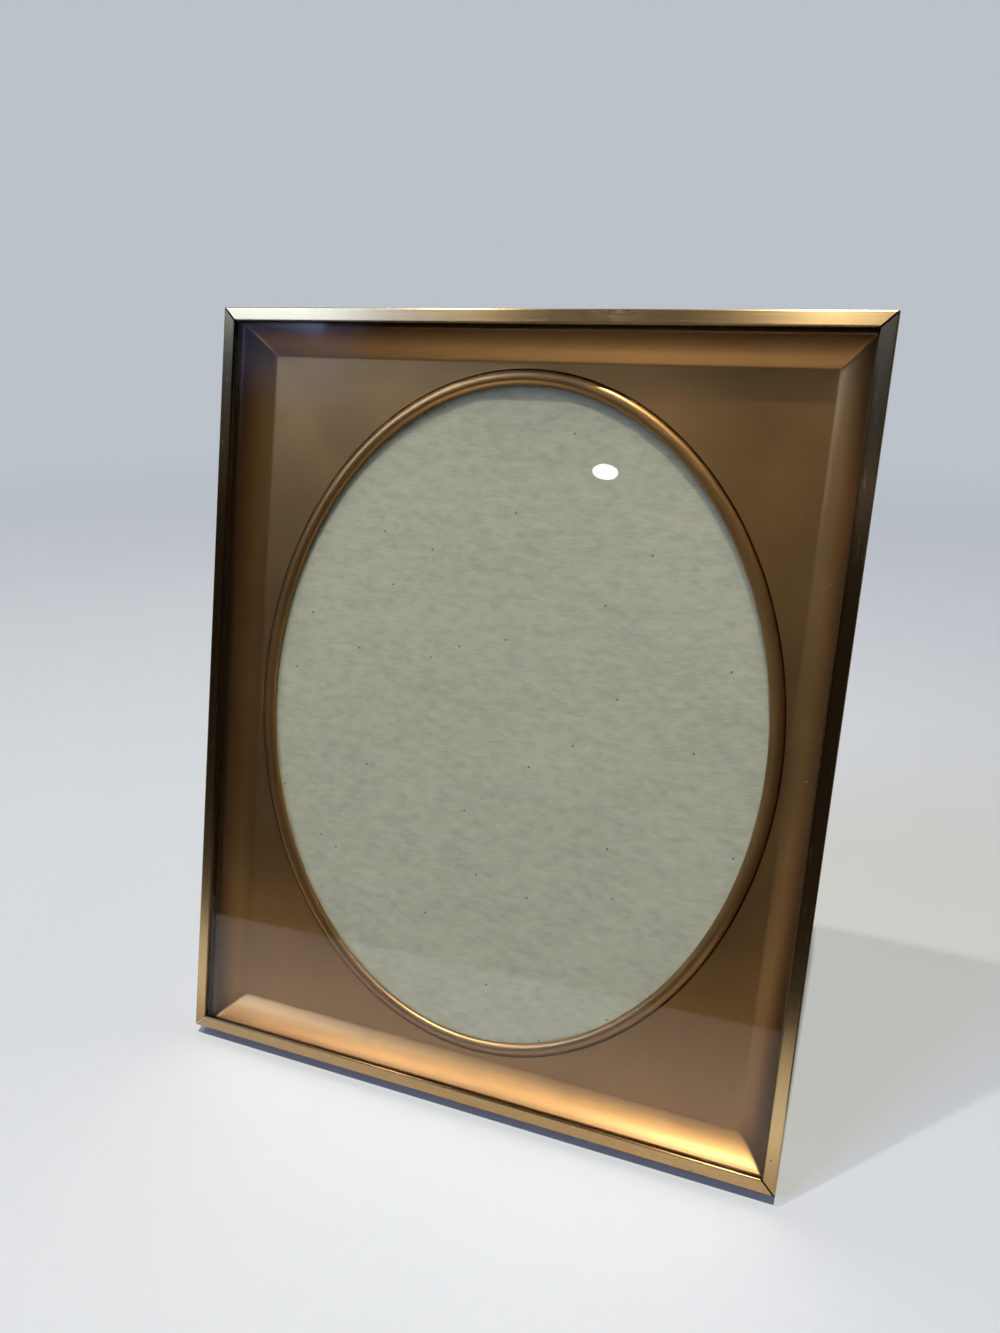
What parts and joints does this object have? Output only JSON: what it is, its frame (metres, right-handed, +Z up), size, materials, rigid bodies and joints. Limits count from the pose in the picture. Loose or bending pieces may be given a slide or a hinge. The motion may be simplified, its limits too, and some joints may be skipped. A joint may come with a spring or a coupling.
{
  "type": "picture frame with oval opening",
  "caption": "Metal table frame with mitred rails, glass, a coved liner with a beaded oval opening, a turn-button back, a folding easel leg and a hanging ring.",
  "frame": {"origin": "middle of the footprint, on the table that the frame stands on", "axes": "+Z up, +X to the viewer's right, the frame's face towards -Y and its easel leg towards +Y"},
  "size_m": [0.209, 0.0804, 0.2537],
  "materials": {
    "rail_brass": "polished brass plate, lightly brushed along the rail",
    "liner_brass": "satin brass stamping",
    "hardware_brass": "dull brass plate",
    "pin_steel": "plain drawn wire",
    "glass": "clear picture glass",
    "insert_paper": "matte pale grey-green paper",
    "filler_board": "grey card",
    "back_board": "dark brown hardboard",
    "leg_board": "dark brown hardboard"
  },
  "bodies": {
    "frame": {"rail_top": "rail_brass", "rail_bottom": "rail_brass", "rail_left": "rail_brass", "rail_right": "rail_brass", "corner_angle_bottom_left": "hardware_brass", "corner_angle_bottom_right": "hardware_brass", "corner_angle_top_left": "hardware_brass", "corner_angle_top_right": "hardware_brass", "glass_pane": "glass", "oval_liner": "liner_brass", "picture_insert": "insert_paper", "filler_card": "filler_board", "back_panel": "back_board", "turn_rivet_left_upper": "hardware_brass", "turn_rivet_left_lower": "hardware_brass", "turn_rivet_right_upper": "hardware_brass", "turn_rivet_right_lower": "hardware_brass", "turn_rivet_top": "hardware_brass", "turn_rivet_bottom": "hardware_brass", "panel_leaf_rivet_left": "hardware_brass", "panel_leaf_rivet_right": "hardware_brass", "hanger_rivet": "hardware_brass", "panel_hinge_leaf": "hardware_brass", "hinge_pin": "pin_steel", "hanger_strap": "hardware_brass"},
    "leg": {"easel_leg": "leg_board", "leg_hinge_leaf": "hardware_brass", "leg_leaf_rivet_left": "hardware_brass", "leg_leaf_rivet_right": "hardware_brass"},
    "ring": {"hanger_ring": "hardware_brass"},
    "button_left_upper": {"turn_button_left_upper": "hardware_brass"},
    "button_left_lower": {"turn_button_left_lower": "hardware_brass"},
    "button_right_upper": {"turn_button_right_upper": "hardware_brass"},
    "button_right_lower": {"turn_button_right_lower": "hardware_brass"},
    "button_top": {"turn_button_top": "hardware_brass"},
    "button_bottom": {"turn_button_bottom": "hardware_brass"}
  },
  "joints": [
    {"name": "leg_fold", "type": "hinge", "parent": "frame", "child": "leg", "pos_m": [0, 0.01609, 0.14496], "axis": [1, 0, 0], "range_deg": [-23, 0]},
    {"name": "ring_swing", "type": "hinge", "parent": "frame", "child": "ring", "pos_m": [0, 0.03097, 0.21339], "axis": [1, 0, 0], "range_deg": [-13, 165]},
    {"name": "turn_left_upper", "type": "hinge", "parent": "frame", "child": "button_left_upper", "pos_m": [-0.0925, 0.0222, 0.18518], "axis": [0, 0.9703, -0.2419], "continuous": true},
    {"name": "turn_left_lower", "type": "hinge", "parent": "frame", "child": "button_left_lower", "pos_m": [-0.0925, -0.0078, 0.06486], "axis": [0, 0.9703, -0.2419], "continuous": true},
    {"name": "turn_right_upper", "type": "hinge", "parent": "frame", "child": "button_right_upper", "pos_m": [0.0925, 0.0222, 0.18518], "axis": [0, 0.9703, -0.2419], "continuous": true},
    {"name": "turn_right_lower", "type": "hinge", "parent": "frame", "child": "button_right_lower", "pos_m": [0.0925, -0.0078, 0.06486], "axis": [0, 0.9703, -0.2419], "continuous": true},
    {"name": "turn_top", "type": "hinge", "parent": "frame", "child": "button_top", "pos_m": [0, 0.03538, 0.23806], "axis": [0, 0.9703, -0.2419], "continuous": true},
    {"name": "turn_bottom", "type": "hinge", "parent": "frame", "child": "button_bottom", "pos_m": [0, -0.02099, 0.01198], "axis": [0, 0.9703, -0.2419], "continuous": true}
  ]
}
